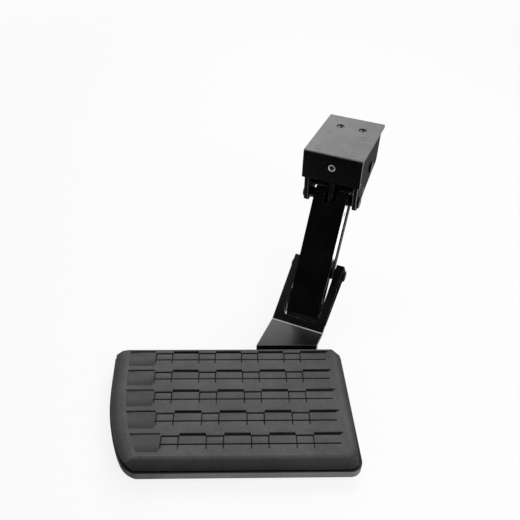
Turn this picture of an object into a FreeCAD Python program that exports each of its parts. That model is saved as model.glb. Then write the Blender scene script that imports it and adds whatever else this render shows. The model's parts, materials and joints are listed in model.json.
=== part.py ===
import FreeCAD, Part
import math
import os

# Retractable bumper step. Sizes are in millimetres.
# X runs to the right along the pivots, -Y towards the user and Z up.
# The origin is midway between the two top bolt holes, on the top face.

# Mount hood: one plate folded into a top and a front
hood_width = 88.0
hood_depth = 128.0
hood_drop = 45.0
hood_plate = 5.0
hood_edge_round = 2.5
bolt_setback = 94.0
bolt_spacing = 35.0
bolt_hole_r = 6.5
bolt_thread_r = 5.0
bolt_nut_flats = 17.0
bolt_nut_height = 10.0
front_hole_drop = 21.0
front_hole_r = 5.5
front_thread_r = 4.0
front_nut_flats = 15.0
front_nut_height = 8.0
collar_gap = 0.05
collar_setback = 0.3

# Side plates with the pivot ears
side_outer = 41.0
side_plate = 6.0
side_flange_reach = 18.0
side_flange_plate = 5.0
side_flange_setback = 9.0
side_rear_gap = 5.0
side_rear_height = 58.0
side_rear_lean = 6.0
side_round = 9.0
side_below_rear_pivot = 19.0
side_behind_pivots = (14.0, 34.0)
ear_r = 12.0
ear_round = 10.8
plug_weld_r = 5.5
plug_weld_groove = 0.6
plug_weld_depth = 0.3
plug_weld_x = 27.5
plug_weld_back = (15.0, 67.0, 116.0)
nut_clearance = 3.0

# Linkage: two equal arms on four parallel pivots
front_pivot_back = 20.0
front_pivot_drop = 80.0
arm_lean = 29.7
arm_reach = 175.0
swing = 96.0
pin_r = 5.0
running_gap = 0.05
seat_gap = 0.02
side_play = 0.2
pin_head_r = 8.5
pin_head = 3.0
clip_r = 8.0
clip_plate = 1.5
clip_setback = 0.3
clip_groove = 1.0
clip_mouth = 3.2
pin_tail = 2.0
spacer_r = 8.0
bush_r = 6.5
bush_flange_r = 8.5
bush_flange = 1.5
bush_length = 14.0

# Front arm: a cast arm with a forked top, closed in front below the fork's mouth
arm_half_width = 25.5
arm_front = 11.0
arm_back = 9.0
arm_skin = 6.0
arm_rib = 6.5
arm_knuckle_r = 12.5
arm_foot_r = 11.0
arm_toe = 24.0
arm_toe_round = 4.0
arm_pocket_round = 2.0
fork_half_width = 9.5
fork_depth = 33.0
fork_open = 12.0
fork_skin = 2.0

# Rear arm: a flat bar, hollowed from behind
rear_half_width = 25.0
rear_thick = 12.0
rear_end_r = 9.5
rear_skin = 5.0
rear_rib = 6.0
rear_pocket_end = 26.0

# Over-centre spring between the mount and the front arm
spring_pin_r = 4.0
spring_anchor_ahead = 1.0
spring_anchor_rise = 28.0
spring_arm_drop = 22.0
spring_r = 4.5
spring_wire_r = 1.0
spring_loop_gap = 0.15

# Stops between the two arms
stop_stud_r = 4.0
stop_sleeve_r = 8.0
stop_inner = 12.5
stop_play = 0.3

# Step bracket: web, side flanges and the folds down to the pad
bracket_half_width = 41.0
bracket_plate = 6.0
web_slope = 33.0
web_length = 110.5
web_lead = 2.0
notch_half_width = 28.5
notch_corner_r = 9.0
notch_end = 12.5
lug_plate = 5.0
lug_r = 10.0
lug_round = 8.0
lug_spread = 19.0
lug_lead = 30.0
front_pin_along = 72.0
front_pin_depth = 12.5
rear_pin_along = 9.0
rear_pin_depth = 15.0
flange_r = 11.0
flange_round = 6.6
flange_tail = 8.0

# Pad: tread and tray share one outline, drawn from the middle of the rear edge
pad_yaw = 24.3
pad_length = 334.0
pad_depth = 197.5
pad_shift = -78.0
pad_ahead = 81.0
pad_below_plate = 3.5
pad_gap = 1.5
pad_rear_chamfer = (10.0, 9.0)
pad_corner_r = 16.0
pad_flare = 6.0
pad_curve_span = 6.0
left_edge = (
    (0.0, 0.046),
    (0.009, 0.32),
    (0.024, 0.54),
    (0.048, 0.71),
    (0.078, 0.853),
    (0.11, 0.944),
    (0.161, 1.0),
)
tread_bevel_drop = 11.0
tread_lip = 2.5
tread_set_in = 2.0
shadow_gap = 4.0
border_drop = 4.5
border_left = 17.0
border_right = 11.0
wall_draft = 1.0
bevel_front = 14.0
tray_height = 12.0
tray_wall = 4.0
tray_deck = 3.5
tray_rib = 3.0
tray_rib_pitch = 46.0
tray_boss_r = 9.0

# Tread tiles
row_count = 5
row_first = 7.0
row_pitch = 35.4
row_mid = 16.0
row_end_right = 22.0
row_start_left = 3.5
tile_pairs = 4
pocket_share = 0.145
short_share = 0.082
castle_step = 3.6
long_groove = 4.4
short_groove = 2.2
groove_depth = 3.0
groove_taper = 6.0
crease_width = 2.2
crease_depth = 1.6
cut_width = 1.6
cut_end = 24.0
tile_land = 1.5
pocket_depth = 2.6
pocket_rise = 0.4
pocket_end = 28.5
cut_clear = 1.0

# Fasteners in the pad
under_left = -120.0
under_right = 140.0
under_back = 44.0
under_front = 152.0
under_round = 12.0
pad_bolt_r = 4.0
pad_bolt_head_r = 7.5
pad_bolt_head = 5.5
pad_bolt_tip = 3.0
pad_washer_r = 9.0
pad_washer = 1.6
pad_bolt_inset = 20.0
pad_bolt_hole_gap = 0.4
screw_r = 2.0
screw_head_r = 4.0
screw_head = 2.4
screw_bite = 6.0
screw_rise = 2.0
screw_from_rear = 24.0
screw_hole_gap = 0.2

os.makedirs("parts", exist_ok=True)


def vec(x, y, z):
    return FreeCAD.Vector(x, y, z)


def box(x0, x1, y0, y1, z0, z1):
    return Part.makeBox(x1 - x0, y1 - y0, z1 - z0, vec(x0, y0, z0))


def rod(x0, x1, point, radius):
    """Cylinder along X between two stations, centred on a (Y, Z) point."""
    return Part.makeCylinder(radius, x1 - x0, vec(x0, point[0], point[1]), vec(1, 0, 0))


def tube(x0, x1, point, outer, inner):
    return rod(x0, x1, point, outer).cut(rod(x0, x1, point, inner))


def post(x, y, z0, z1, radius):
    return Part.makeCylinder(radius, z1 - z0, vec(x, y, z0))


def hex_prism(flats, height):
    corner = flats / math.sqrt(3.0)
    angles = [math.radians(60 * i) for i in range(7)]
    points = [vec(corner * math.cos(angle), corner * math.sin(angle), 0) for angle in angles]
    return Part.Face(Part.makePolygon(points)).extrude(vec(0, 0, height))


def rounded_wire(corners, place):
    """Closed wire through (a, b, radius) corners, each rounded; place maps (a, b) to a point."""
    count = len(corners)
    starts = []
    ends = []
    middles = []
    for i in range(count):
        a, b, radius = corners[i]
        before = corners[i - 1]
        after = corners[(i + 1) % count]
        back = (before[0] - a, before[1] - b)
        ahead = (after[0] - a, after[1] - b)
        back_length = math.hypot(back[0], back[1])
        ahead_length = math.hypot(ahead[0], ahead[1])
        back = (back[0] / back_length, back[1] / back_length)
        ahead = (ahead[0] / ahead_length, ahead[1] / ahead_length)
        half = math.acos(max(-1.0, min(1.0, back[0] * ahead[0] + back[1] * ahead[1]))) / 2
        trim = radius / math.tan(half)
        bisect = (back[0] + ahead[0], back[1] + ahead[1])
        size = math.hypot(bisect[0], bisect[1])
        reach = radius / math.sin(half) - radius
        starts.append((a + back[0] * trim, b + back[1] * trim))
        ends.append((a + ahead[0] * trim, b + ahead[1] * trim))
        middles.append((a + bisect[0] / size * reach, b + bisect[1] / size * reach) if size > 0 else (a, b))
    edges = []
    for i in range(count):
        if corners[i][2] > 0:
            edges.append(Part.Arc(place(*starts[i]), place(*middles[i]), place(*ends[i])).toShape())
        here = place(*ends[i])
        there = place(*starts[(i + 1) % count])
        if here.distanceToPoint(there) > 0.001:
            edges.append(Part.makeLine(here, there))
    return Part.Wire(edges)


def side_prism(corners, x0, x1):
    """Rounded outline of (Y, Z) corners, extruded along X."""
    wire = rounded_wire(corners, lambda y, z: vec(x0, y, z))
    return Part.Face(wire).extrude(vec(x1 - x0, 0, 0))


def plan_prism(corners, z0, z1):
    """Rounded outline of (X, Y) corners, extruded upwards."""
    wire = rounded_wire(corners, lambda x, y: vec(x, y, z0))
    return Part.Face(wire).extrude(vec(0, 0, z1 - z0))


def mirrored(shape):
    return shape.mirror(vec(0, 0, 0), vec(1, 0, 0))


def pair(shape):
    return Part.makeCompound([mirrored(shape), shape])


def save(name, shape):
    shape.exportStep("parts/" + name + ".step")


# Places that the linkage sets. Points are (Y, Z).
front_y = -bolt_setback
rear_y = front_y + hood_depth
side_inner = side_outer - side_plate
lean = math.radians(arm_lean)
down = (-math.sin(lean), -math.cos(lean))
behind = (math.cos(lean), -math.sin(lean))
slope = math.radians(web_slope)
along = (-math.cos(slope), -math.sin(slope))
inward = (math.sin(slope), -math.cos(slope))


def offset(point, first, distance, second=(0.0, 0.0), other=0.0):
    """Point moved along one direction, then along another."""
    y = point[0] + first[0] * distance + second[0] * other
    z = point[1] + first[1] * distance + second[1] * other
    return (y, z)


upper_front = (front_y + front_pivot_back, -front_pivot_drop)
lower_front = offset(upper_front, down, arm_reach)
web_top = offset(lower_front, along, -front_pin_along, inward, -front_pin_depth)
lower_rear = offset(web_top, along, rear_pin_along, inward, rear_pin_depth)
upper_rear = offset(lower_rear, down, -arm_reach)
bend = offset(web_top, along, web_length)


def on_arm(length, back, base=upper_front):
    """Point given as a length down the arm and a distance behind its pivot line."""
    return offset(base, down, length, behind, back)


def on_web(length, depth):
    """Point given as a length down the web and a depth below its top face."""
    return offset(web_top, along, length, inward, depth)


# Stops: the sleeve meets the rear arm when the step is out and the front arm when it is away.
turned = math.radians(swing)
stow_down = (down[0] * math.cos(turned) - down[1] * math.sin(turned),
             down[0] * math.sin(turned) + down[1] * math.cos(turned))
stow_behind = (behind[0] * math.cos(turned) - behind[1] * math.sin(turned),
               behind[0] * math.sin(turned) + behind[1] * math.cos(turned))
stop_line = offset(upper_front, stow_behind, arm_back + stop_sleeve_r + stop_play)
rear_face = -(rear_thick / 2 + stop_sleeve_r + stop_play)
to_line = (stop_line[0] - upper_rear[0]) * behind[0] + (stop_line[1] - upper_rear[1]) * behind[1]
stop_rate = stow_down[0] * behind[0] + stow_down[1] * behind[1]
stop_point = offset(stop_line, stow_down, (rear_face - to_line) / stop_rate)

spring_anchor = (upper_front[0] - spring_anchor_ahead, upper_front[1] + spring_anchor_rise)
spring_foot = on_arm(spring_arm_drop, 0.0)

# Mount hood
hood_under = -hood_plate
half_hood = hood_width / 2
hood = box(-half_hood, half_hood, front_y, rear_y, hood_under, 0)
hood_front = box(-half_hood, half_hood, front_y, front_y + hood_plate, -hood_drop, 0)
hood = hood.fuse(hood_front).removeSplitter()
fold_edges = []
for edge in hood.Edges:
    middle = edge.CenterOfMass
    if abs(middle.y - front_y) < 0.01 and abs(middle.z) < 0.01:
        fold_edges.append(edge)
hood = hood.makeFillet(hood_edge_round, fold_edges)
for x in (-bolt_spacing / 2, bolt_spacing / 2):
    hood = hood.cut(post(x, 0, hood_under, 0, bolt_hole_r))
for x in (-plug_weld_x, plug_weld_x):
    for back in plug_weld_back:
        ring = post(x, front_y + back, -plug_weld_depth, 0, plug_weld_r)
        ring = ring.cut(post(x, front_y + back, -plug_weld_depth, 0, plug_weld_r - plug_weld_groove))
        hood = hood.cut(ring)
front_hole = Part.makeCylinder(front_hole_r, hood_plate, vec(0, front_y, -front_hole_drop), vec(0, 1, 0))
hood = hood.cut(front_hole)
save("mount_hood", hood)

# Side plates
side_corners = (
    (front_y + hood_plate, hood_under, 0),
    (rear_y - side_rear_gap, hood_under, 0),
    (rear_y - side_rear_gap - side_rear_lean, -side_rear_height, side_round),
    (upper_rear[0] + side_behind_pivots[0], upper_rear[1] - side_below_rear_pivot, side_round),
    (upper_front[0] + side_behind_pivots[1], upper_front[1], side_round),
    (upper_front[0] + ear_r, upper_front[1] - ear_r, ear_round),
    (upper_front[0] - ear_r, upper_front[1] - ear_r, ear_round),
    (front_y + hood_plate, -hood_drop, side_round / 2),
)
side = side_prism(side_corners, side_inner, side_outer)
flange_under = hood_under - side_flange_plate
side_flange = box(side_inner - side_flange_reach, side_inner,
                  front_y + side_flange_setback, rear_y - side_flange_setback,
                  flange_under, hood_under)
nut_half = bolt_nut_flats / math.sqrt(3.0) + nut_clearance
nut_room = box(0, bolt_spacing / 2 + nut_half, -nut_half, nut_half, flange_under, hood_under)
side_flange = side_flange.cut(nut_room)
side = side.fuse(side_flange).removeSplitter()
side = side.cut(rod(side_inner, side_outer, upper_front, pin_r + seat_gap))
side = side.cut(rod(side_inner, side_outer, upper_rear, pin_r + seat_gap))
side = side.cut(rod(side_inner, side_outer, stop_point, stop_stud_r + seat_gap))
side = side.cut(rod(side_inner, side_outer, spring_anchor, spring_pin_r + seat_gap))
save("right_side_plate", side)
save("left_side_plate", mirrored(side))

# Weld nuts


def weld_nut(flats, height, hole_r, thread_r):
    """Hexagon nut below the origin, with a collar that fills the plate's hole above it."""
    nut = hex_prism(flats, height)
    nut.translate(vec(0, 0, -height))
    collar_top = hood_plate - collar_setback
    nut = nut.fuse(post(0, 0, 0, collar_top, hole_r - collar_gap)).removeSplitter()
    return nut.cut(post(0, 0, -height, collar_top, thread_r))


nut = weld_nut(bolt_nut_flats, bolt_nut_height, bolt_hole_r, bolt_thread_r)
nut.translate(vec(bolt_spacing / 2, 0, hood_under))
save("top_weld_nuts", pair(nut))
nut = weld_nut(front_nut_flats, front_nut_height, front_hole_r, front_thread_r)
nut.rotate(vec(0, 0, 0), vec(1, 0, 0), 90)
nut.translate(vec(0, front_y + hood_plate, -front_hole_drop))
save("front_weld_nut", nut)

# Front arm's upper pivot: a headed stud in each ear, with a spacer up to the bush
stud = rod(fork_half_width, side_outer, upper_front, pin_r)
stud = stud.fuse(rod(side_outer, side_outer + pin_head, upper_front, pin_head_r)).removeSplitter()
save("front_pivot_studs", pair(stud))
spacer_start = arm_half_width + bush_flange + side_play
save("front_pivot_spacers", pair(tube(spacer_start, side_inner, upper_front, spacer_r, pin_r + seat_gap)))

# Rear arm's upper pivot: a headed pin right across, with a clip at its left end


def clipped_pin(point, face):
    """Pin across two faces at plus and minus face, headed at the right and grooved at the left."""
    groove = -face - clip_setback
    pin = rod(groove - clip_plate - pin_tail, face, point, pin_r)
    pin = pin.fuse(rod(face, face + pin_head, point, pin_head_r)).removeSplitter()
    return pin.cut(tube(groove - clip_plate, groove, point, pin_r, pin_r - clip_groove))


def clip(point, face):
    """Retaining clip in the groove of a clipped pin; its mouth faces forwards."""
    groove = -face - clip_setback
    ring = tube(groove - clip_plate, groove, point, clip_r, pin_r - clip_groove + seat_gap)
    y0 = point[0] - clip_r
    z0 = point[1] - clip_mouth
    return ring.cut(box(groove - clip_plate, groove, y0, point[0], z0, point[1] + clip_mouth))


save("rear_pivot_pin", clipped_pin(upper_rear, side_outer))
save("rear_pivot_clip", clip(upper_rear, side_outer))
rear_spacer_start = rear_half_width + bush_flange + side_play
spacer = tube(rear_spacer_start, side_inner, upper_rear, spacer_r, pin_r + seat_gap)
save("rear_pivot_spacers", pair(spacer))

# Stops and the spring's fixed pin
save("stop_studs", pair(rod(stop_inner, side_outer, stop_point, stop_stud_r)))
save("stop_sleeves", pair(tube(stop_inner, side_inner, stop_point, stop_sleeve_r, stop_stud_r + seat_gap)))
save("spring_anchor_pin", rod(-side_outer, side_outer, spring_anchor, spring_pin_r))

# Front arm
arm_end = arm_reach + arm_toe
body = side_prism((on_arm(0, -arm_front) + (0,),
                   on_arm(0, arm_back) + (0,),
                   on_arm(arm_end, arm_back) + (arm_toe_round,),
                   on_arm(arm_end, -arm_front) + (arm_toe_round,)),
                  -arm_half_width, arm_half_width)
pocket_top = fork_depth + arm_skin
pocket_bottom = arm_reach - arm_foot_r - arm_skin
pocket_half = (pocket_bottom - pocket_top - arm_rib) / 2
for start in (pocket_top, pocket_top + pocket_half + arm_rib):
    pocket = side_prism((on_arm(start, arm_skin - arm_front) + (arm_pocket_round,),
                         on_arm(start, arm_back) + (0,),
                         on_arm(start + pocket_half, arm_back) + (0,),
                         on_arm(start + pocket_half, arm_skin - arm_front) + (arm_pocket_round,)),
                        -arm_half_width + arm_rib, arm_half_width - arm_rib)
    body = body.cut(pocket)
body = body.fuse(rod(-arm_half_width, arm_half_width, upper_front, arm_knuckle_r))
body = body.fuse(rod(-arm_half_width, arm_half_width, lower_front, arm_foot_r))
fork_floor = on_arm(fork_depth - fork_half_width, 0)
fork_reach = arm_front + arm_knuckle_r
fork_front = fork_skin - arm_front
fork_high = fork_depth + fork_reach
fork = box(-fork_half_width, fork_half_width, fork_front, fork_reach, 0, fork_high)
fork_end = Part.makeCylinder(fork_half_width, fork_reach - fork_front, vec(0, fork_front, 0), vec(0, 1, 0))
mouth_low = fork_depth - fork_half_width - fork_open
fork_mouth = box(-fork_half_width, fork_half_width, -fork_reach, fork_reach, mouth_low, fork_high)
fork = fork.fuse([fork_end, fork_mouth])
fork.rotate(vec(0, 0, 0), vec(1, 0, 0), -arm_lean)
fork.translate(vec(0, fork_floor[0], fork_floor[1]))
body = body.cut(fork)
for point in (upper_front, lower_front):
    body = body.cut(rod(-arm_half_width, arm_half_width, point, bush_r + seat_gap))
body = body.cut(rod(-arm_half_width, arm_half_width, spring_foot, spring_pin_r + seat_gap))
save("front_arm", body.removeSplitter())
save("spring_arm_pin", rod(-arm_half_width, arm_half_width, spring_foot, spring_pin_r))


def bush(point, inner_end, outer_end):
    """Flanged plain bearing that faces outwards on the right side."""
    shape = rod(inner_end, outer_end, point, bush_r)
    shape = shape.fuse(rod(outer_end, outer_end + bush_flange, point, bush_flange_r)).removeSplitter()
    return shape.cut(rod(inner_end, outer_end + bush_flange, point, pin_r + running_gap))


save("front_upper_bushes", pair(bush(upper_front, fork_half_width, arm_half_width)))
save("front_lower_bushes", pair(bush(lower_front, arm_half_width - bush_length, arm_half_width)))

# Rear arm
bar = side_prism((on_arm(0, -rear_thick / 2, upper_rear) + (0,),
                  on_arm(0, rear_thick / 2, upper_rear) + (0,),
                  on_arm(arm_reach, rear_thick / 2, upper_rear) + (0,),
                  on_arm(arm_reach, -rear_thick / 2, upper_rear) + (0,)),
                 -rear_half_width, rear_half_width)
for point in (upper_rear, lower_rear):
    bar = bar.fuse(rod(-rear_half_width, rear_half_width, point, rear_end_r))
pocket_floor = rear_skin - rear_thick / 2
pocket = side_prism((on_arm(rear_pocket_end, pocket_floor, upper_rear) + (arm_pocket_round,),
                     on_arm(rear_pocket_end, rear_thick / 2, upper_rear) + (0,),
                     on_arm(arm_reach - rear_pocket_end, rear_thick / 2, upper_rear) + (0,),
                     on_arm(arm_reach - rear_pocket_end, pocket_floor, upper_rear) + (arm_pocket_round,)),
                    -rear_half_width + rear_rib, rear_half_width - rear_rib)
bar = bar.cut(pocket)
for point in (upper_rear, lower_rear):
    bar = bar.cut(rod(-rear_half_width, rear_half_width, point, bush_r + seat_gap))
save("rear_arm", bar.removeSplitter())
save("rear_upper_bushes", pair(bush(upper_rear, rear_half_width - bush_length, rear_half_width)))
save("rear_lower_bushes", pair(bush(lower_rear, rear_half_width - bush_length, rear_half_width)))

# Hold spring: a close coil shown by its ridges, with a loop at each end
reach_y = spring_foot[0] - spring_anchor[0]
reach_z = spring_foot[1] - spring_anchor[1]
spring_length = math.hypot(reach_y, reach_z)
loop_r = spring_pin_r + spring_loop_gap + spring_wire_r
coil_start = loop_r
coil_end = spring_length - loop_r
turns = int((coil_end - coil_start) / (2 * spring_wire_r))
turn = (coil_end - coil_start) / turns
profile = [vec(0, 0, coil_start)]
for i in range(turns):
    profile.append(vec(spring_r - spring_wire_r, 0, coil_start + i * turn))
    profile.append(vec(spring_r, 0, coil_start + (i + 0.5) * turn))
profile.append(vec(spring_r - spring_wire_r, 0, coil_end))
profile.append(vec(0, 0, coil_end))
profile.append(vec(0, 0, coil_start))
spring = Part.Face(Part.makePolygon(profile)).revolve(vec(0, 0, 0), vec(0, 0, 1), 360)
for z in (0, spring_length):
    spring = spring.fuse(Part.makeTorus(loop_r, spring_wire_r, vec(0, 0, z), vec(1, 0, 0)))
spring.rotate(vec(0, 0, 0), vec(1, 0, 0), math.degrees(math.atan2(-reach_y, reach_z)))
spring.translate(vec(0, spring_anchor[0], spring_anchor[1]))
save("hold_spring", spring)

# Pad outline
pad_turn = math.radians(pad_yaw)
pad_y = bend[0] - pad_ahead
pad_top = bend[1] - pad_below_plate
tread_low = pad_top - tread_bevel_drop - tread_lip
tray_low = tread_low - tray_height


def on_pad(shape):
    """Turn a shape drawn about the middle of the pad's rear edge into its place."""
    shape.rotate(vec(0, 0, 0), vec(0, 0, 1), pad_yaw)
    shape.translate(vec(pad_shift, pad_y, 0))
    return shape


def left_x(depth, inset):
    """X of the pad's curved left edge at a distance from the rear edge."""
    share = depth / pad_depth
    for i in range(len(left_edge) - 1):
        x0, y0 = left_edge[i]
        x1, y1 = left_edge[i + 1]
        if share <= y1:
            blend = max(0.0, (share - y0) / (y1 - y0))
            return (x0 + (x1 - x0) * blend) * pad_length - pad_length / 2 + inset
    return left_edge[-1][0] * pad_length - pad_length / 2 + inset


def right_x(depth, inset):
    """X of the pad's right edge, which runs out a little towards the front."""
    return pad_length / 2 - inset + pad_flare * depth / pad_depth


def pad_wire(left, right, front, rear, z):
    """Pad outline at one height, set in from each side; the front line cuts off the curved edge."""
    half = pad_length / 2
    front_line = front - pad_depth
    reach = pad_depth - front
    curve = [vec(left_x(reach, left), front_line, z)]
    for x_share, y_share in reversed(left_edge):
        if y_share * pad_depth < reach - pad_curve_span:
            curve.append(vec(x_share * pad_length - half + left, -y_share * pad_depth, z))
    chamfer_x, chamfer_y = pad_rear_chamfer
    rear_left = vec(-half + left + chamfer_x, -rear, z)
    rear_right = vec(right_x(rear, right) - chamfer_x, -rear, z)
    right_back = vec(right_x(rear + chamfer_y, right), -chamfer_y - rear, z)
    right_front = vec(right_x(reach - pad_corner_r, right), front_line + pad_corner_r, z)
    corner = pad_corner_r * (1 - math.sqrt(0.5))
    corner_x = right_x(reach, right)
    corner_middle = vec(corner_x - corner, front_line + corner, z)
    front_right = vec(corner_x - pad_corner_r, front_line, z)
    spline = Part.BSplineCurve()
    spline.interpolate(curve)
    edges = [
        Part.makeLine(rear_left, rear_right),
        Part.makeLine(rear_right, right_back),
        Part.makeLine(right_back, right_front),
        Part.Arc(right_front, corner_middle, front_right).toShape(),
        Part.makeLine(front_right, curve[0]),
        spline.toShape(),
        Part.makeLine(curve[-1], rear_left),
    ]
    return Part.Wire(edges)


# Tread pad
low = tread_set_in
foot_in = tread_set_in + shadow_gap
lip = Part.Face(pad_wire(foot_in, foot_in, foot_in, foot_in, tread_low)).extrude(vec(0, 0, tread_lip))
wall_low = pad_wire(low, low, low, low, tread_low + tread_lip)
side_in = low + wall_draft
border_front = bevel_front * (1.0 - border_drop / tread_bevel_drop)
border_low = pad_wire(side_in, side_in, low + border_front, side_in, pad_top - border_drop)
border_high = pad_wire(side_in + border_left, side_in + border_right, low + bevel_front, side_in, pad_top)
tread = lip.fuse(Part.makeLoft([wall_low, border_low], True, True))
tread = tread.fuse(Part.makeLoft([border_low, border_high], True, True))
long_share = (1.0 - pocket_share) / tile_pairs - short_share
cut_top = pad_top + cut_clear
ridge_in = side_in + border_left + row_start_left
inside_ridge = Part.Face(pad_wire(ridge_in, side_in + border_right, low + bevel_front, side_in, tread_low))
inside_ridge = inside_ridge.extrude(vec(0, 0, cut_top - tread_low))
cutters = []
for row in range(row_count):
    top = -(row_first + row * row_pitch)
    right = right_x(row_mid - top, row_end_right)
    left = left_x(row_mid - top, ridge_in)
    length = right - left
    x = left + pocket_share * length
    upper = []
    lower = []
    stations = []
    for tile in range(tile_pairs):
        short_end = x + short_share * length
        stations.append(x)
        stations.append(short_end)
        upper.append((x, top - castle_step))
        upper.append((short_end, top - castle_step))
        upper.append((short_end, top))
        lower.append((x, top - castle_step - short_groove))
        lower.append((short_end, top - castle_step - short_groove))
        lower.append((short_end, top - long_groove))
        x = short_end + long_share * length
        if tile < tile_pairs - 1:
            upper.append((x, top))
            lower.append((x, top - long_groove))
    lower.append((right - groove_taper, top - long_groove))
    upper.append((right, top))
    ring = upper + lower[::-1]
    points = [vec(px, py, pad_top - groove_depth) for px, py in ring + ring[:1]]
    groove = Part.Face(Part.makePolygon(points))
    cutters.append(groove.extrude(vec(0, 0, cut_top - pad_top + groove_depth)))
    row_high = top - castle_step - short_groove - tile_land
    crease = top - row_mid
    crease_low = pad_top - crease_depth
    pocket_right = left + pocket_share * length - tile_land
    cutters.append(box(pocket_right, right, crease - crease_width, crease, crease_low, cut_top))
    for station in stations:
        cut_left = station - cut_width / 2
        cutters.append(box(cut_left, cut_left + cut_width, top - cut_end, row_high, crease_low, cut_top))
    pocket = side_prism(((top, cut_top, 0), (top - pocket_end, cut_top, 0),
                         (top - pocket_end, pad_top - pocket_rise, 0), (top, pad_top - pocket_depth, 0)),
                        -pad_length / 2, pocket_right)
    cutters.append(pocket.common(inside_ridge))
tread = tread.cut(cutters)

# Tray under the tread
tray = Part.Face(pad_wire(0, 0, 0, 0, tray_low)).extrude(vec(0, 0, tray_height))
hollow = Part.Face(pad_wire(tray_wall, tray_wall, tray_wall, tray_wall, tray_low))
hollow = hollow.extrude(vec(0, 0, tray_height - tray_deck))
deck_under = tray_low + tray_height - tray_deck
half_rib = tray_rib / 2
ribs = []
rib_places = []
rib_count = int(pad_length / tray_rib_pitch)
for i in range(rib_count):
    x = (i - (rib_count - 1) / 2) * tray_rib_pitch
    rib_places.append(x)
    ribs.append(box(x - half_rib, x + half_rib, -pad_depth, 0, tray_low, deck_under))
rib_y = -pad_depth / 2
rib_end = right_x(pad_depth, 0)
ribs.append(box(-pad_length / 2, rib_end, rib_y - half_rib, rib_y + half_rib, tray_low, deck_under))

# Plate under the pad, in the pad's own axes
pad_cos = math.cos(pad_turn)
pad_sin = math.sin(pad_turn)
panel_front = pad_gap
panel_back = pad_gap + bracket_plate


def edge_station(x, back):
    """Place along the pad's rear edge where the bracket's side at x is this far behind it."""
    return (x - pad_shift + back * pad_sin) / pad_cos


under_top = tray_low
under_low = tray_low - bracket_plate
plate_top = bend[1]
panel_corners = (
    (edge_station(-bracket_half_width, panel_back), panel_back, 0),
    (edge_station(bracket_half_width, panel_back), panel_back, 0),
    (edge_station(bracket_half_width, panel_front), panel_front, 0),
    (edge_station(-bracket_half_width, panel_front), panel_front, 0),
)
panel = plan_prism(panel_corners, under_low, plate_top)
neck_left = edge_station(-bracket_half_width, 0.0)
neck_right = edge_station(bracket_half_width, 0.0)
under_corners = (
    panel_corners[0],
    panel_corners[1],
    (neck_right, 0.0, 0),
    (neck_right, under_round - under_back, under_round / 2),
    (under_right, -under_back, under_round / 2),
    (under_right, -under_front, under_round),
    (under_left, -under_front, under_round),
    (under_left, -under_back, under_round),
    (neck_left, -under_back, under_round),
    (neck_left, 0.0, 0),
)
under = plan_prism(under_corners, under_low, under_top)
bolt_x = (under_left + pad_bolt_inset, under_right - pad_bolt_inset)
bolt_y = (-under_back - pad_bolt_inset, pad_bolt_inset - under_front)
bolt_places = [(x, y) for x in bolt_x for y in bolt_y]
bosses = [post(x, y, tray_low, deck_under, tray_boss_r) for x, y in bolt_places]
screw_ribs = (rib_places[0], rib_places[rib_count // 2], rib_places[-2])
screw_x = [x + tray_rib_pitch / 2 for x in screw_ribs]
screw_y = (-screw_from_rear, (bolt_y[1] - pad_depth) / 2)
screw_places = [(x, y) for x in screw_x for y in screw_y]
screw_seat = tray_low + screw_rise + screw_head
for x, y in screw_places:
    bosses.append(post(x, y, screw_seat, deck_under, screw_head_r + screw_rise))
hollow = hollow.cut(ribs + bosses)
tray = tray.cut(hollow)
bolts = []
washers = []
bolt_high = tray_low + tray_height - pad_bolt_tip
head_top = under_low - pad_washer
for x, y in bolt_places:
    tray = tray.cut(post(x, y, tray_low, bolt_high, pad_bolt_r + seat_gap))
    under = under.cut(post(x, y, under_low, under_top, pad_bolt_r + pad_bolt_hole_gap))
    head = hex_prism(pad_bolt_head_r * math.sqrt(3.0), pad_bolt_head)
    head.translate(vec(x, y, head_top - pad_bolt_head))
    bolts.append(head.fuse(post(x, y, head_top, bolt_high, pad_bolt_r)).removeSplitter())
    washer = post(x, y, head_top, under_low, pad_washer_r)
    washers.append(washer.cut(post(x, y, head_top, under_low, pad_bolt_r + pad_bolt_hole_gap)))
screws = []
shank_top = tread_low + screw_bite
for x, y in screw_places:
    tray = tray.cut(post(x, y, screw_seat, tread_low, screw_r + screw_hole_gap))
    tread = tread.cut(post(x, y, tread_low, shank_top, screw_r + seat_gap))
    head = post(x, y, screw_seat - screw_head, screw_seat, screw_head_r)
    screws.append(head.fuse(post(x, y, screw_seat, shank_top, screw_r)).removeSplitter())
save("tread_pad", on_pad(tread))
save("step_base", on_pad(tray))
save("pad_bolts", on_pad(Part.makeCompound(bolts)))
save("pad_washers", on_pad(Part.makeCompound(washers)))
save("tread_screws", on_pad(Part.makeCompound(screws)))

# Step bracket
bend_trim = bracket_plate * math.tan(slope / 2)
web = side_prism((on_web(-web_lead, 0) + (0,), on_web(web_length, 0) + (0,),
                  (bend[0], plate_top - bracket_plate, 0),
                  on_web(web_length + bend_trim, bracket_plate) + (0,),
                  on_web(-web_lead, bracket_plate) + (0,)),
                 -bracket_half_width, bracket_half_width)
flange_inner = bracket_half_width - bracket_plate
flange_low = rear_pin_depth + flange_r
flange = side_prism((on_web(-web_lead, 0) + (web_lead,), on_web(web_length, 0) + (0,),
                     on_web(web_length - flange_tail, bracket_plate) + (0,),
                     on_web(rear_pin_along + web_lead, flange_low) + (flange_round,),
                     on_web(-web_lead, flange_low) + (flange_round,)),
                    flange_inner, bracket_half_width)
notch_floor = notch_end - web_length
notch = Part.Face(rounded_wire(((-notch_half_width, web_length, 0), (notch_half_width, web_length, 0),
                                (notch_half_width, notch_floor, notch_corner_r),
                                (-notch_half_width, notch_floor, notch_corner_r)),
                               lambda a, b: vec(a, b, -web_length / 2)))
notch = notch.extrude(vec(0, 0, web_length))
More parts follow.
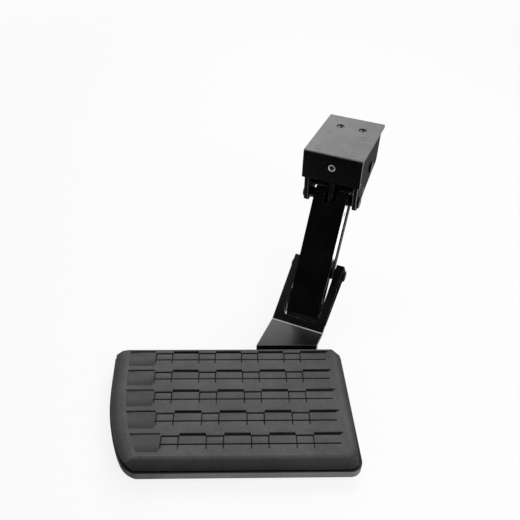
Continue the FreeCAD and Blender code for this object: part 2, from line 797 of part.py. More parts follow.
notch.rotate(vec(0, 0, 0), vec(1, 0, 0), web_slope)
notch.translate(vec(0, web_top[0], web_top[1]))


def from_pad(corner):
    """Plan corner in the pad's axes, moved to the part's axes."""
    x, y = corner[0], corner[1]
    return (pad_shift + x * pad_cos - y * pad_sin, pad_y + x * pad_sin + y * pad_cos, 0)


skew_plate = plan_prism(((-bracket_half_width, bend[0], 0), (bracket_half_width, bend[0], 0),
                         from_pad(panel_corners[2]), from_pad(panel_corners[3])),
                        plate_top - bracket_plate, plate_top)
bracket = web.cut(notch).fuse([flange, mirrored(flange), skew_plate, on_pad(panel), on_pad(under)])
bracket = bracket.cut(rod(-bracket_half_width, bracket_half_width, lower_rear, pin_r + seat_gap))
save("step_bracket", bracket.removeSplitter())

# Lower pivots
lug_inner = arm_half_width + bush_flange + side_play
lug_outer = lug_inner + lug_plate
lug = side_prism((on_web(front_pin_along - lug_spread, bracket_plate) + (0,),
                  on_web(front_pin_along + lug_lead, bracket_plate) + (0,),
                  on_web(front_pin_along + lug_r, front_pin_depth + lug_r) + (lug_round,),
                  on_web(front_pin_along - lug_r, front_pin_depth + lug_r) + (lug_round,)),
                 lug_inner, lug_outer)
lug = lug.cut(rod(lug_inner, lug_outer, lower_front, pin_r + seat_gap))
save("right_pivot_lug", lug)
save("left_pivot_lug", mirrored(lug))
save("front_lower_pin", rod(-lug_outer, lug_outer, lower_front, pin_r))
save("rear_lower_pin", clipped_pin(lower_rear, bracket_half_width))
save("rear_lower_clip", clip(lower_rear, bracket_half_width))
spacer = tube(rear_spacer_start, flange_inner, lower_rear, spacer_r, pin_r + seat_gap)
save("rear_lower_spacers", pair(spacer))
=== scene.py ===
# %% [markdown]
# # A fold-away step
# The real object is a small step that hangs from three bolts and swings out
# of the way. A hood and two ears carry a pair of parallel arms, and the arms
# carry a bracket with a moulded tread pad. The solids come in as a fixed
# frame, so this lesson only dresses them: camera and light first, then the
# finishes, then the pieces whose detail is finer than the solids.

# %% Load the solids as a fixed frame
import json
import math

import bmesh
import bpy
from mathutils import Matrix, Vector


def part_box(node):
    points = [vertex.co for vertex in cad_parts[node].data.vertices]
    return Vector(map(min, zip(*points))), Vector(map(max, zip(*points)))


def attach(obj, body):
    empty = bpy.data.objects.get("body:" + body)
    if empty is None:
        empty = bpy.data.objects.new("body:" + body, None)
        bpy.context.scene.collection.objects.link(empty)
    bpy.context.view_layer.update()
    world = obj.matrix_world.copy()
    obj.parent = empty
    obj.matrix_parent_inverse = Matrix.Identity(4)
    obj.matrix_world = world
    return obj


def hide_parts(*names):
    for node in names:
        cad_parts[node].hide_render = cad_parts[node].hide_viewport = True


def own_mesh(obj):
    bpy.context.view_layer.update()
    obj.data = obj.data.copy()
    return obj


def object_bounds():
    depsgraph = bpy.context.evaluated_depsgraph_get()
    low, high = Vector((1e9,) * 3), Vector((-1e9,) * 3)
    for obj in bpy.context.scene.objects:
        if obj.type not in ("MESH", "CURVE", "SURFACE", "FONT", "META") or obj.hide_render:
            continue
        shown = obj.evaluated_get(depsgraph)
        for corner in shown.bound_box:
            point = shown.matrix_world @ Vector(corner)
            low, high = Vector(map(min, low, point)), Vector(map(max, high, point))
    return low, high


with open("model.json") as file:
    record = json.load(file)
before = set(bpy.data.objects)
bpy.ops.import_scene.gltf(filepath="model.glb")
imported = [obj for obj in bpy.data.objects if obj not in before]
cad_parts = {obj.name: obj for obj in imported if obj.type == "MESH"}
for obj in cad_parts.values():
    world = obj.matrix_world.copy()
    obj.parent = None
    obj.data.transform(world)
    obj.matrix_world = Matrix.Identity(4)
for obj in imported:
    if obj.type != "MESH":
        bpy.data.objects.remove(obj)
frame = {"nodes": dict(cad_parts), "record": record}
nodes = frame["nodes"]
cad_box = [list(corner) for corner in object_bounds()]
print("solids:", len(nodes), "box:", cad_box)

# %% [markdown]
# ## Camera
# The photograph looks down on the pad from the front right. The camera could
# be aimed at a target by eye, but its place, its direction and its slight
# roll were worked out from the edges of the object, so they are written as
# numbers and turned into the three axes of the camera's matrix.

# %% Camera at the photograph's viewpoint
IMAGE_PX = 520
FOCAL_PX = 600.0
SENSOR_MM = 36.0
VIEW_POINT = Vector((0.1911, -0.8320, 0.4145))
VIEW_TURN = math.radians(22.0)
VIEW_RISE = math.radians(38.79)
VIEW_ROLL = math.radians(1.54)

camera_data = bpy.data.cameras.new("photo_camera")
camera_data.sensor_width = SENSOR_MM
camera_data.lens = SENSOR_MM * FOCAL_PX / IMAGE_PX
camera_data.clip_start = 0.01
camera = bpy.data.objects.new("photo_camera", camera_data)
bpy.context.scene.collection.objects.link(camera)
flat_share = math.cos(VIEW_RISE)
back = Vector((math.sin(VIEW_TURN) * flat_share, -math.cos(VIEW_TURN) * flat_share, math.sin(VIEW_RISE)))
level = Vector((math.cos(VIEW_TURN), math.sin(VIEW_TURN), 0.0))
upright = back.cross(level)
right = level * math.cos(VIEW_ROLL) + upright * math.sin(VIEW_ROLL)
up = upright * math.cos(VIEW_ROLL) - level * math.sin(VIEW_ROLL)
camera.matrix_world = Matrix.Translation(VIEW_POINT) @ Matrix((right, up, back)).transposed().to_4x4()
bpy.context.scene.camera = camera
print("lens:", round(camera_data.lens, 2), "mm")

# %% [markdown]
# ## A socket that does its own maths
# Finishes are node trees. Adding every node by hand hides the idea behind
# the wiring, so one small class wraps a socket: `a * 2 + b` adds the Math
# nodes, and `node` adds any other kind.

# %% Wrap a shader socket


class Tap:
    """A socket in a node tree; sums and products of taps add Math nodes."""

    def __init__(self, tree, socket=None):
        self.tree = tree
        self.socket = socket

    def node(self, kind, settings=None, inputs=None, output=0):
        """Add a node: settings first, then the values or taps of its sockets."""
        made = self.tree.nodes.new(kind)
        for name, value in (settings or {}).items():
            setattr(made, name, value)
        for key, value in (inputs or {}).items():
            if isinstance(value, Tap):
                self.tree.links.new(value.socket, made.inputs[key])
            else:
                made.inputs[key].default_value = value
        return Tap(self.tree, made.outputs[output] if made.outputs else None)

    def maths(self, operation, first, second=0.0):
        return self.node("ShaderNodeMath", {"operation": operation}, {0: first, 1: second})

    def __add__(self, other):
        return self.maths("ADD", self, other)

    __radd__ = __add__

    def __mul__(self, other):
        return self.maths("MULTIPLY", self, other)

    __rmul__ = __mul__

    def __sub__(self, other):
        return self.maths("SUBTRACT", self, other)

    def __rsub__(self, other):
        return self.maths("SUBTRACT", other, self)

    def ramp(self, low, high):
        """0 below low, 1 above high, smooth between."""
        settings = {"interpolation_type": "SMOOTHSTEP"}
        inputs = {"Value": self, "From Min": low, "From Max": high}
        return self.node("ShaderNodeMapRange", settings, inputs)

    def mix(self, dark, light):
        """Colour between two colours, with this tap as the share of the second."""
        settings = {"data_type": "RGBA"}
        inputs = {0: self, 6: dark, 7: light}
        return self.node("ShaderNodeMix", settings, inputs, 2)


OBJECT_PLACE = 3


def object_place(tap):
    """Object coordinates, in metres."""
    return tap.node("ShaderNodeTexCoord", output=OBJECT_PLACE)


def part_of(tap, place, axis):
    """X, Y or Z of a place, as axis 0, 1 or 2."""
    return tap.node("ShaderNodeSeparateXYZ", None, {0: place}, axis)


def new_finish(name):
    """An empty material and a tap on its tree."""
    material = bpy.data.materials.new(name)
    material.use_nodes = True
    material.node_tree.nodes.clear()
    return material, Tap(material.node_tree)


def close_finish(tap, colour, roughness, bump, constants):
    """Principled shader from what varies over the surface and what doesn't."""
    inputs = {"Base Color": colour, "Roughness": roughness}
    inputs.update(constants)
    if bump is not None:
        inputs["Normal"] = bump
    shader = tap.node("ShaderNodeBsdfPrincipled", None, inputs)
    tap.node("ShaderNodeOutputMaterial", None, {"Surface": shader})


def speckle(tap, place, size, detail=2.0, roughness=0.5):
    """Soft noise whose spots are about size metres across."""
    inputs = {"Vector": place, "Scale": 1.0 / size, "Detail": detail, "Roughness": roughness}
    return tap.node("ShaderNodeTexNoise", None, inputs)


def relief(tap, height, depth, strength=1.0):
    """Bump of that depth in metres from a height between 0 and 1."""
    return tap.node("ShaderNodeBump", None, {"Height": height, "Distance": depth, "Strength": strength})


print("shader helper ready")

# %% [markdown]
# ## Stage and light
# A studio cut-out has an even white ground. The floor is a plain pale sheet
# that keeps a soft shadow; seen directly it is lifted to white by a share of
# emission on camera rays, so the object itself gets no extra light. Far from
# the part it fades to pure white, so that no horizon shows in a low view.

# %% Floor and world
FLOOR_SIZE = 12.0
FLOOR_GAP = 0.0005
FLOOR_LIFT = 0.86
FADE_START = 0.9
FADE_END = 2.6
AMBIENT = 0.18

bpy.ops.object.select_all(action="DESELECT")
bpy.ops.mesh.primitive_plane_add(size=FLOOR_SIZE, location=(0.0, 0.0, cad_box[0][2] - FLOOR_GAP))
floor = bpy.context.object
floor.name = "studio_floor"


def seen_directly(tap):
    """1 for what the camera sees directly, in a mirror or through glass."""
    path = tap.tree.nodes.new("ShaderNodeLightPath")
    names = ("Is Camera Ray", "Is Glossy Ray", "Is Transmission Ray")
    shown = [Tap(tap.tree, path.outputs[name]) for name in names]
    return tap.maths("MAXIMUM", shown[0], tap.maths("MAXIMUM", shown[1], shown[2]))


floor_finish, tap = new_finish("studio_white")
matte = tap.node("ShaderNodeBsdfDiffuse", None, {"Color": (0.8, 0.8, 0.8, 1.0)})
glow = tap.node("ShaderNodeEmission", None, {"Color": (1.0, 1.0, 1.0, 1.0), "Strength": 1.0})
place = object_place(tap)
distance = tap.node("ShaderNodeVectorMath", {"operation": "LENGTH"}, {0: place}, 1)
far = distance.ramp(FADE_START, FADE_END)
lift = far * (1.0 - FLOOR_LIFT) + FLOOR_LIFT
white = tap.node("ShaderNodeMixShader", None, {0: seen_directly(tap) * lift, 1: matte, 2: glow})
tap.node("ShaderNodeOutputMaterial", None, {"Surface": white})
floor.data.materials.append(floor_finish)

world = bpy.data.worlds.new("studio_world")
bpy.context.scene.world = world
world.use_nodes = True
world.node_tree.nodes.clear()
tap = Tap(world.node_tree)
sky = seen_directly(tap) * (1.0 - AMBIENT) + AMBIENT
dome = tap.node("ShaderNodeBackground", None, {"Color": (1.0, 1.0, 1.0, 1.0), "Strength": sky})
tap.node("ShaderNodeOutputWorld", None, {"Surface": dome})
print("floor at", round(floor.location.z, 4))

# %% [markdown]
# Four soft boxes light the part: a large key from behind, which leaves the
# fronts dark, one overhead for the folds, a weak fill from the front right,
# and a low one behind that draws the sheen on the flat tops. The key and the
# fill are hidden from mirrors, so they leave no square glints on the paint.

# %% Soft boxes


def softbox(name, place, size, watts):
    """Square area lamp aimed at the middle of the part."""
    data = bpy.data.lights.new(name, "AREA")
    data.size = size
    data.energy = watts
    lamp = bpy.data.objects.new(name, data)
    bpy.context.scene.collection.objects.link(lamp)
    aim = (LIT_MIDDLE - Vector(place)).to_track_quat("-Z", "Y")
    lamp.matrix_world = Matrix.Translation(place) @ aim.to_matrix().to_4x4()
    return lamp


LIT_MIDDLE = Vector((-0.05, -0.25, -0.15))
key = softbox("key_box", (0.25, 0.95, 1.5), 1.0, 22.0)
key.visible_glossy = False
softbox("fold_box", (-0.5, 0.1, 1.7), 0.8, 6.0)
fill = softbox("fill_box", (0.5, -0.6, 0.55), 0.5, 4.2)
fill.visible_glossy = False
softbox("rim_box", (-0.72, 1.3, 0.9), 0.9, 7.5)
bpy.context.scene.view_settings.view_transform = "Standard"
print("lamps ready")

# %% [markdown]
# Gloss black paint mirrors the room. A photographer sets black cards where
# the faces turned to the lens would mirror white: behind the camera, overhead,
# on the floor and behind the bracket. Where a card ends, a face turns from
# black to grey. One white card on the floor does the opposite and draws the
# bright line down the arm's flank. Only mirrors see the cards.

# %% Black and white cards
CARD_BLACK = (0.004, 0.004, 0.004, 1.0)
CARD_GLOW = 3.5

card_finish, tap = new_finish("card_black")
matte = tap.node("ShaderNodeBsdfDiffuse", None, {"Color": CARD_BLACK})
tap.node("ShaderNodeOutputMaterial", None, {"Surface": matte})

glow_finish, tap = new_finish("card_white")
glow = tap.node("ShaderNodeEmission", None, {"Color": (1.0, 1.0, 1.0, 1.0), "Strength": CARD_GLOW})
tap.node("ShaderNodeOutputMaterial", None, {"Surface": glow})


def hang_card(name, place, width, length, tilt, finish):
    """A card that only mirrors see."""
    bpy.ops.object.select_all(action="DESELECT")
    bpy.ops.mesh.primitive_plane_add(size=1.0, location=place, rotation=(tilt, 0.0, 0.0))
    card = bpy.context.object
    card.name = name
    card.scale = (width, length, 1.0)
    bpy.ops.object.transform_apply(location=False, rotation=False, scale=True)
    card.visible_camera = False
    card.visible_diffuse = False
    card.visible_shadow = False
    card.data.materials.append(finish)


UPRIGHT = math.radians(90.0)
CARD_RISE = 0.004
CARD_LEVEL = cad_box[0][2] + CARD_RISE
hang_card("card_behind_camera", (-0.6, -2.6, 1.4), 5.0, 5.0, UPRIGHT, card_finish)
hang_card("card_overhead", (-0.6, -2.155, 2.3), 4.0, 2.19, 0.0, card_finish)
hang_card("card_over_bracket", (0.34, -0.655, 2.3), 2.12, 0.81, 0.0, card_finish)
hang_card("card_in_front", (-0.4, -1.95, CARD_LEVEL), 3.0, 2.9, 0.0, card_finish)
hang_card("card_behind_part", (-0.3, 0.6, CARD_LEVEL), 0.85, 0.73, 0.0, card_finish)
hang_card("card_behind_bracket", (-0.17, 1.4, 1.5), 0.8, 0.8, UPRIGHT, card_finish)
hang_card("card_by_bracket", (0.17, -0.06, CARD_LEVEL), 0.3, 0.17, 0.0, card_finish)
hang_card("card_by_arm", (0.07, 0.12, CARD_LEVEL), 0.09, 0.18, 0.0, glow_finish)
print("cards hung")

# %% [markdown]
# ## Finishes
# Steel parts are powder coated: a dark coat with a faint orange peel, dull on
# the side plates and the rear arm and paler on the edges, a painted highlight.
# The hood's top is painted grey where the light falls on it, its sides painted
# black as shade. Each finish reads object coordinates in metres, so the grain
# has its real size on every piece.

# %% Powder coats
GLOSS = {"Specular IOR Level": 0.4}
DULL = {"Specular IOR Level": 0.1}
PEEL_SIZE = 0.0022
PEEL_DEPTH = 0.00006
COAT_CLOUD = 0.045
HOOD_CLOUD = 0.03
HOOD_LIT_BAND = (-0.0022, -0.0006)
HOOD_SHADE_BLACK = 0.003
HOOD_LIT_GREYS = (0.085, 0.125)


def grey(value):
    """A neutral colour."""
    return (value, value, value, 1.0)


def powder_coat(name, dark, light, rough, shine):
    """Paint between two greys, with soft clouds and orange peel."""
    material, tap = new_finish(name)
    place = object_place(tap)
    peel = speckle(tap, place, PEEL_SIZE, 3.0)
    cloud = speckle(tap, place, COAT_CLOUD, 4.0)
    colour = cloud.ramp(0.35, 0.75).mix(grey(dark), grey(light))
    roughness = cloud * 0.12 + rough
    close_finish(tap, colour, roughness, relief(tap, peel, PEEL_DEPTH, 0.6), shine)
    return material


black_coat = powder_coat("gloss_black_coat", 0.003, 0.006, 0.11, GLOSS)
dull_coat = powder_coat("dull_black_coat", 0.004, 0.008, 0.6, DULL)
# Pale coats for the edge bevels and the fold: painted highlight.
edge_highlight_coat = powder_coat("painted_edge_highlight", 0.25, 0.45, 0.25, GLOSS)
bright_edge_highlight = powder_coat("painted_bright_edge_highlight", 0.4, 0.6, 0.3, GLOSS)


def hood_coat():
    """Painted light: grey on the lit top face, near black as painted shade on the faces below it."""
    material, tap = new_finish("hood_painted_light")
    place = object_place(tap)
    height = part_of(tap, place, 2)
    peel = speckle(tap, place, PEEL_SIZE, 3.0)
    cloud = speckle(tap, place, HOOD_CLOUD, 5.0)
    lit_grey = cloud.ramp(0.3, 0.75).mix(grey(HOOD_LIT_GREYS[0]), grey(HOOD_LIT_GREYS[1]))
    # painted light: the top face is lit grey, the faces below are painted shade
    top = height.ramp(*HOOD_LIT_BAND)
    colour = top.mix(grey(HOOD_SHADE_BLACK), lit_grey)
    roughness = top * 0.2 + cloud * 0.1 + 0.22
    close_finish(tap, colour, roughness, relief(tap, peel, PEEL_DEPTH, 0.7), GLOSS)
    return material


hood_light_coat = hood_coat()
print("powder coats ready")

# %% [markdown]
# The front nut, washers and bolts are zinc plated; pins, spacers, clips and
# the nuts under the hood are blackened steel. All are metals whose roughness
# drifts a little, with a fine plating grain in the bump.

# %% Metals
METAL_CLOUD = 0.012
PLATING_DEPTH = 0.00003


def metal(name, dark, light, rough, grain, bare=1.0):
    """Metal between two greys; bare says how metallic it looks."""
    material, tap = new_finish(name)
    place = object_place(tap)
    fine = speckle(tap, place, grain, 4.0)
    cloud = speckle(tap, place, METAL_CLOUD, 3.0)
    colour = cloud.ramp(0.3, 0.7).mix(grey(dark), grey(light))
    roughness = fine * 0.18 + rough
    close_finish(tap, colour, roughness, relief(tap, fine, PLATING_DEPTH, 0.5), {"Metallic": bare})
    return material


zinc = metal("zinc_plate", 0.75, 0.92, 0.3, 0.0009, 0.35)
pin_steel = metal("black_oxide_steel", 0.02, 0.045, 0.3, 0.0008)
spring_steel = metal("oiled_spring_steel", 0.03, 0.06, 0.3, 0.0006)
thread_steel = metal("cut_thread_steel", 0.3, 0.5, 0.2, 0.0006)
print("metals ready")

# %% [markdown]
# The tread and its tray are moulded. Moulded rubbery plastic has a fine spark
# grain, a soft low gloss, and slightly paler patches where shoes rub. Painted
# shade darkens the tread below its ridge. The tray is smoother, and a painted
# shadow keeps its top ledge under the tread dark.

# %% Mouldings
SATIN = {"Specular IOR Level": 0.35}
WEAR_CLOUD = 0.05
FLECK = 0.0035
CLOUD_SHARE = 0.65
BORDER_BAND = (0.004, 0.0006)
BORDER_SHADE = 0.6
BEVEL_BAND = (0.011, 0.005)
BEVEL_SHADE = 0.18
LEDGE_BAND = (0.0008, 0.0002)


def moulding(name, dark, light, rough, grain, depth, painted_shade=None, shade_tone=0.0):
    """Grained plastic between two greys, darkened to the shade tone where the painted shade mask says.
    """
    material, tap = new_finish(name)
    place = object_place(tap)
    fine = speckle(tap, place, grain, 2.0)
    cloud = speckle(tap, place, WEAR_CLOUD, 5.0, 0.6)
    flecks = speckle(tap, place, FLECK, 3.0)
    shade = cloud.ramp(0.3, 0.72) * CLOUD_SHARE + flecks.ramp(0.35, 0.7) * (1.0 - CLOUD_SHARE)
    colour = shade.mix(grey(dark), grey(light))
    # painted shade: the colour runs to a darker tone where the mask says
    if painted_shade is not None:
        colour = painted_shade(tap, place).mix(colour, grey(shade_tone))
    roughness = fine * 0.2 + rough
    close_finish(tap, colour, roughness, relief(tap, fine, depth, 0.8), SATIN)
    return material


tray_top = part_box("step_base")[1][2]
tread_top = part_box("tread_pad")[1][2]


def shade_below_ridge(tap, place):
    """Share of painted shade on the border, and more of it down the bevel."""
    height = part_of(tap, place, 2)
    border = 1.0 - height.ramp(tread_top - BORDER_BAND[0], tread_top - BORDER_BAND[1])
    bevel = 1.0 - height.ramp(tread_top - BEVEL_BAND[0], tread_top - BEVEL_BAND[1])
    return border * BORDER_SHADE + bevel * BEVEL_SHADE


def shadow_on_ledge(tap, place):
    """Share of painted shadow on the tray's top ledge, under the tread."""
    height = part_of(tap, place, 2)
    return height.ramp(tray_top - LEDGE_BAND[0], tray_top - LEDGE_BAND[1])


# the tread darkens below its ridge: painted shade
tread_rubber = moulding("grained_tread", 0.05, 0.085, 0.52, 0.0013, 0.00018, shade_below_ridge)
ridge_highlight = moulding("painted_ridge_highlight", 0.075, 0.12, 0.5, 0.0013, 0.00012)
groove_shade = moulding("painted_groove_shade", 0.003, 0.008, 0.75, 0.0013, 0.0001)
# the tray's top ledge under the tread: painted shadow
tray_plastic = moulding("tray_moulding", 0.125, 0.185, 0.4, 0.001, 0.0001, shadow_on_ledge, 0.004)
stop_rubber = moulding("stop_rubber", 0.008, 0.02, 0.6, 0.001, 0.0001)
print("mouldings ready")

# %% [markdown]
# Every solid takes the finish of its slot. Its edges are still knife sharp,
# and no real edge is: a Weld joins the loose triangles, a planar Decimate
# clears the flat faces and a small Bevel catches the light along each edge.
# On black paint the bevel has a paler finish of its own, a painted highlight.

# %% Dress the solids
FINISHES = {
    "hood_paint": hood_light_coat,
    "black_paint": black_coat,
    "zinc": zinc,
    "pin_steel": pin_steel,
    "spring_steel": spring_steel,
    "bush_liner": stop_rubber,
    "stop_rubber": stop_rubber,
    "tread_moulding": tread_rubber,
    "tray_moulding": tray_plastic,
}
EDGE_ROUNDS = {
    "hood_paint": 0.0006,
    "black_paint": 0.0007,
    "tread_moulding": 0.0004,
    "tray_moulding": 0.0008,
}
SMALL_ROUND = 0.0003
BRACKET_ROUND = 0.0012
JOIN_GAP = 0.00001
FLAT_ANGLE = math.radians(0.5)
SHARP_ANGLE = math.radians(32.0)


def soften(piece, width, edge_slot):
    """Live modifiers that round a solid's sharp edges."""
    weld = piece.modifiers.new("join_triangles", "WELD")
    weld.merge_threshold = JOIN_GAP
    flat = piece.modifiers.new("clear_flats", "DECIMATE")
    flat.decimate_type = "DISSOLVE"
    flat.angle_limit = FLAT_ANGLE
    edge = piece.modifiers.new("round_edges", "BEVEL")
    edge.limit_method = "ANGLE"
    edge.angle_limit = SHARP_ANGLE
    edge.width = width
    edge.segments = 2
    edge.material = edge_slot
    even = piece.modifiers.new("even_flats", "WEIGHTED_NORMAL")
    even.weight = 100
    piece.data.polygons.foreach_set("use_smooth", [True] * len(piece.data.polygons))


for part in frame["record"]["subparts"]:
    piece = nodes[part["node"]]
    slot = part["material_slot"]
    piece.data.materials.clear()
    piece.data.materials.append(FINISHES[slot])
    if slot == "black_paint":
        # the bevel slot of black parts: pale paint as a painted highlight
        piece.data.materials.append(edge_highlight_coat)
    soften(piece, EDGE_ROUNDS.get(slot, SMALL_ROUND), len(piece.data.materials) - 1)
nodes["top_weld_nuts"].data.materials[0] = pin_steel
for name in ("rear_arm", "left_side_plate", "right_side_plate"):
    nodes[name].data.materials[0] = dull_coat
# the bracket's wider bevels take a paler coat still: painted highlight
nodes["step_bracket"].modifiers["round_edges"].width = BRACKET_ROUND
nodes["step_bracket"].data.materials[1] = bright_edge_highlight
print("dressed", len(nodes), "solids")

# %% [markdown]
# ## The tread
# The pad's tread is one moulding: a flat top with five rows of shallow tiles,
# a wide sloping border at the left and a steep bevel in front. A mould maker
# would mill a block and then sink the grooves, and the same order works here.
# The piece is drawn about the middle of the pad's rear edge and is turned
# into its place when it is done. Sizes are in metres.

# %% Sizes of the tread
PAD_TURN = math.radians(24.3)
PAD_PLACE = Vector((-0.078, -0.280802, 0.0))
PAD_LENGTH = 0.334
PAD_DEPTH = 0.1975
PAD_TOP = -0.245996
TREAD_THICK = 0.011
TREAD_LOW = PAD_TOP - TREAD_THICK
TREAD_LIP = 0.0025
SHADOW_GAP = 0.004
BORDER_DROP = 0.0045
BORDER_LOW = PAD_TOP - BORDER_DROP
CORNER_R = 0.016
REAR_CHAMFER = (0.010, 0.009)
LEFT_EDGE = (
    (0.0, 0.046),
    (0.009, 0.32),
    (0.024, 0.54),
    (0.048, 0.71),
    (0.078, 0.853),
    (0.11, 0.944),
    (0.161, 1.0),
)
CURVE_STEPS = 3
CORNER_STEPS = 6
FLARE = 0.006
WALL_IN = 0.002
WALL_FRONT = 0.002
BORDER_IN = 0.003
RIDGE_LEFT = 0.020
RIDGE_RIGHT = 0.014
BEVEL_RUN = 0.014


def curved_edge():
    """The left edge's shares of length and depth, front to rear, as a smooth run of points."""
    knots = [Vector(pair) for pair in reversed(LEFT_EDGE)]
    run = []
    for i in range(len(knots) - 1):
        before = knots[max(i - 1, 0)]
        after = knots[min(i + 2, len(knots) - 1)]
        start, end = knots[i], knots[i + 1]
        for step in range(CURVE_STEPS):
            t = step / CURVE_STEPS
            pull_in = (end - before) * 0.5
            pull_out = (after - start) * 0.5
            a = 2 * t**3 - 3 * t**2 + 1
            b = t**3 - 2 * t**2 + t
            c = 3 * t**2 - 2 * t**3
            d = t**3 - t**2
            run.append(start * a + pull_in * b + end * c + pull_out * d)
    run.append(knots[-1])
    return run


def right_edge(depth, inset):
    """X of the right edge, which runs out a little towards the front."""
    return PAD_LENGTH / 2 - inset + FLARE * depth / PAD_DEPTH


def outline(left, right, front, rear, height):
    """Pad outline at one height, set in from each side, clockwise from the rear left."""
    half = PAD_LENGTH / 2
    chamfer_x, chamfer_y = REAR_CHAMFER
    ring = [(-half + left + chamfer_x, -rear), (right_edge(rear, right) - chamfer_x, -rear)]
    ring.append((right_edge(rear + chamfer_y, right), -rear - chamfer_y))
    for i in range(CORNER_STEPS + 1):
        angle = -math.pi / 2 * i / CORNER_STEPS
        y = front - PAD_DEPTH + CORNER_R + CORNER_R * math.sin(angle)
        ring.append((right_edge(-y, right) - CORNER_R + CORNER_R * math.cos(angle), y))
    for along, deep in curved_edge():
        ring.append((along * PAD_LENGTH - half + left, -deep * PAD_DEPTH))
    return [Vector((x, y, height)) for x, y in ring]


BORDER_SHARE = (BORDER_LOW - TREAD_LOW) / (PAD_TOP - TREAD_LOW)
levels = (
    outline(WALL_IN, WALL_IN, WALL_FRONT, WALL_IN, TREAD_LOW),
    outline(BORDER_IN, BORDER_IN, WALL_FRONT + BEVEL_RUN * BORDER_SHARE, BORDER_IN, BORDER_LOW),
    outline(RIDGE_LEFT, RIDGE_RIGHT, WALL_FRONT + BEVEL_RUN, BORDER_IN, PAD_TOP),
)
print("outline points:", [len(ring) for ring in levels])

# %% [markdown]
# A block is trimmed to the outline one plane at a time. Every side of the pad
# leans inwards, the border more than the wall below it, so most sides need
# two slanted cuts. The rear needs one, and the front bevel is one plane from
# bottom to top. Bisect with fill is the saw: it cuts and closes the block.

# %% Saw the block


def select_faces(piece, test):
    """Select the faces whose middle and normal pass the test; return how many."""
    bpy.ops.mesh.select_mode(type="FACE")
    bpy.ops.mesh.select_all(action="DESELECT")
    shape = bmesh.from_edit_mesh(piece.data)
    found = [face for face in shape.faces if test(face.calc_center_median(), face.normal)]
    for face in found:
        face.select_set(True)
    bmesh.update_edit_mesh(piece.data)
    return len(found)


def select_edges(piece, test):
    """Select the edges that pass the test; return how many."""
    bpy.ops.mesh.select_mode(type="EDGE")
    bpy.ops.mesh.select_all(action="DESELECT")
    shape = bmesh.from_edit_mesh(piece.data)
    found = [edge for edge in shape.edges if test(edge)]
    for edge in found:
        edge.select_set(True)
    bmesh.update_edit_mesh(piece.data)
    return len(found)


bpy.ops.object.select_all(action="DESELECT")
block_middle = (0.0, -PAD_DEPTH / 2, (PAD_TOP + TREAD_LOW) / 2)
block_size = (PAD_LENGTH, PAD_DEPTH, PAD_TOP - TREAD_LOW)
bpy.ops.mesh.primitive_cube_add(size=1.0, location=block_middle, scale=block_size)
tread = bpy.context.object
tread.name = "grained_tread_pad"
bpy.ops.object.transform_apply(location=True, rotation=True, scale=True)
bpy.ops.object.mode_set(mode="EDIT")
SAW_GRIP = 0.000001
LEVEL_FACING = 0.99
FRONT_SIDE = CORNER_STEPS + 3
ONE_CUT_SIDES = (0, 1, len(levels[0]) - 1)


def saw(point, out):
    """Cut off what lies beyond a plane and close the cut."""
    bpy.ops.mesh.select_all(action="SELECT")
    bpy.ops.mesh.bisect(
        plane_co=point,
        plane_no=out,
        use_fill=True,
        clear_outer=True,
        threshold=SAW_GRIP,
    )


for lower, upper in zip(levels, levels[1:]):
    for i in range(len(lower)):
        if i == FRONT_SIDE or (upper is levels[2] and i in ONE_CUT_SIDES):
            continue
        edge = lower[(i + 1) % len(lower)] - lower[i]
        out = edge.cross(upper[i] - lower[i]).normalized()
        if out.dot(lower[i] - Vector(block_middle)) < 0.0:
            out = -out
        saw(lower[i], out)
saw((0.0, WALL_FRONT - PAD_DEPTH, TREAD_LOW), (0.0, TREAD_LOW - PAD_TOP, BEVEL_RUN))
select_faces(tread, lambda middle, normal: normal.z < -LEVEL_FACING)
bpy.ops.mesh.inset(thickness=SHADOW_GAP)
bpy.ops.mesh.extrude_region_move(TRANSFORM_OT_translate={"value": (0.0, 0.0, -TREAD_LIP)})
print("block faces:", len(bmesh.from_edit_mesh(tread.data).faces))

# %% [markdown]
# Five rows of tiles share one layout. Each row is scored into the top face as
# straight lines first, the way a draughtsman rules a grid; afterwards the
# cells that are groove, crease, slit or pocket are picked by their place.

# %% Score the rows
ROWS = 5
ROW_FIRST = 0.0062
ROW_PITCH = 0.0354
ROW_SET_IN = 0.0235
ROW_END = 0.0192
POCKET_SHARE = 0.13
SHORT_SHARE = 0.081
PAIR_SHARE = 0.213
TILE_PAIRS = 4
CASTLE_STEP = 0.0036
LONG_GROOVE = 0.0044
SHORT_GROOVE = 0.0022
GROOVE_TAPER = 0.006
CREASE = (0.016, 0.0182)
SLIT_HALF = 0.0008
SLIT_END = 0.024
POCKET_END = 0.0285
LAND = 0.0015
HAIR = 0.00001


def on_top(middle, normal):
    return normal.z > LEVEL_FACING and abs(middle.z - PAD_TOP) < HAIR


def score(point, normal, test):
    """Rule one line into the top faces whose middles pass the test."""
    select_faces(tread, lambda middle, up: on_top(middle, up) and test(middle))
    bpy.ops.mesh.bisect(plane_co=point, plane_no=normal, threshold=SAW_GRIP)


def row_left(y):
    """Where the rows start at this depth, just inside the border's ridge."""
    for a, b in zip(ridge_run, ridge_run[1:]):
        if a.y <= y <= b.y:
            return a.x + (b.x - a.x) * (y - a.y) / (b.y - a.y)
    return ridge_run[-1].x


def tile_left(depth):
    """Where a row's tiles are measured from: the left edge, set in."""
    share = depth / PAD_DEPTH
    for (x0, y0), (x1, y1) in zip(LEFT_EDGE, LEFT_EDGE[1:]):
        if share <= y1:
            along = x0 + (x1 - x0) * (share - y0) / (y1 - y0)
            return along * PAD_LENGTH - PAD_LENGTH / 2 + ROW_SET_IN
    return 0.0


